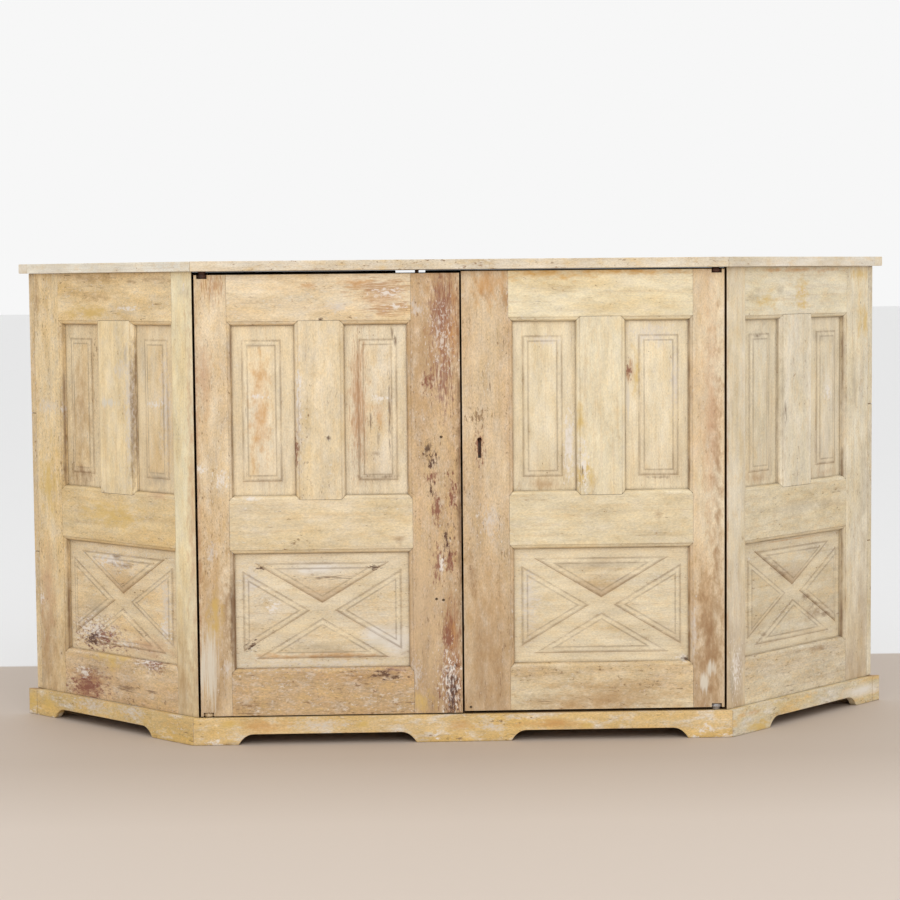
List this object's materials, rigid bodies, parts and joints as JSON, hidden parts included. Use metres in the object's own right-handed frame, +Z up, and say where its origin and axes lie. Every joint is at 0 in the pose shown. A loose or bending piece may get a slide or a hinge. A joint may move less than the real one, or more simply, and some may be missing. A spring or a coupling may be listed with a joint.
{
  "type": "buffet cabinet",
  "caption": "Low painted pine buffet cabinet with canted ends, panelled doors on iron pivots, X-pattern lower panels, a shaped plinth and a plain edged top.",
  "frame": {"origin": "on the floor under the middle of the cabinet's overall box", "axes": "+X to the right seen from the front, +Y to the back, +Z up; the doors face -Y"},
  "size_m": [1.9178, 0.407, 1],
  "materials": {
    "top_paint": "worn cream paint",
    "plinth_paint": "worn ochre cream paint",
    "left_side_paint": "worn yellow cream paint",
    "right_side_paint": "worn pale cream paint",
    "left_door_paint": "worn cream paint, rubbed to the wood",
    "right_door_paint": "worn cream paint",
    "bare_pine": "bare aged pine",
    "iron": "rusted wrought iron"
  },
  "bodies": {
    "carcass": {"top_board": "top_paint", "top_rear_strip": "top_paint", "top_lipping_front": "top_paint", "top_lipping_left": "top_paint", "top_lipping_right": "top_paint", "plinth_front": "plinth_paint", "plinth_left": "plinth_paint", "plinth_right": "plinth_paint", "plinth_back": "plinth_paint", "bottom_board": "bare_pine", "back_board_lower": "bare_pine", "back_board_middle": "bare_pine", "back_board_upper": "bare_pine", "shelf": "bare_pine", "shelf_bearer_left": "bare_pine", "shelf_bearer_right": "bare_pine", "left_side_rear_stile": "left_side_paint", "left_side_front_stile": "left_side_paint", "left_side_top_rail": "left_side_paint", "left_side_mid_rail": "left_side_paint", "left_side_bottom_rail": "left_side_paint", "left_side_muntin": "left_side_paint", "left_side_upper_left_panel": "left_side_paint", "left_side_upper_right_panel": "left_side_paint", "left_side_lower_panel": "left_side_paint", "right_side_front_stile": "right_side_paint", "right_side_rear_stile": "right_side_paint", "right_side_top_rail": "right_side_paint", "right_side_mid_rail": "right_side_paint", "right_side_bottom_rail": "right_side_paint", "right_side_muntin": "right_side_paint", "right_side_upper_left_panel": "right_side_paint", "right_side_upper_right_panel": "right_side_paint", "right_side_lower_panel": "right_side_paint"},
    "left_door": {"left_door_hinge_stile": "left_door_paint", "left_door_meeting_stile": "left_door_paint", "left_door_top_rail": "left_door_paint", "left_door_mid_rail": "left_door_paint", "left_door_bottom_rail": "left_door_paint", "left_door_muntin": "left_door_paint", "left_door_upper_left_panel": "left_door_paint", "left_door_upper_right_panel": "left_door_paint", "left_door_lower_panel": "left_door_paint", "left_door_upper_pivot": "iron", "left_door_lower_pivot": "iron", "left_door_bolt_plate": "iron"},
    "right_door": {"right_door_meeting_stile": "right_door_paint", "right_door_hinge_stile": "right_door_paint", "right_door_top_rail": "right_door_paint", "right_door_mid_rail": "right_door_paint", "right_door_bottom_rail": "right_door_paint", "right_door_muntin": "right_door_paint", "right_door_upper_left_panel": "right_door_paint", "right_door_upper_right_panel": "right_door_paint", "right_door_lower_panel": "right_door_paint", "right_door_upper_pivot": "iron", "right_door_lower_pivot": "iron", "lock_case": "iron"},
    "lock_bolt": {"lock_bolt": "iron"},
    "left_door_bolt": {"left_door_bolt": "iron"}
  },
  "joints": [
    {"name": "left_door_hinge", "type": "hinge", "parent": "carcass", "child": "left_door", "pos_m": [-0.529, -0.1715, 0.5], "axis": [0, 0, -1], "range_deg": [0, 110]},
    {"name": "right_door_hinge", "type": "hinge", "parent": "carcass", "child": "right_door", "pos_m": [0.529, -0.1715, 0.5], "axis": [0, 0, 1], "range_deg": [0, 110]},
    {"name": "lock_bolt_slide", "type": "slide", "parent": "right_door", "child": "lock_bolt", "axis": [-1, 0, 0], "range_m": [0, 0.011]},
    {"name": "left_door_bolt_slide", "type": "slide", "parent": "left_door", "child": "left_door_bolt", "axis": [0, 0, 1], "range_m": [0, 0.013]}
  ]
}
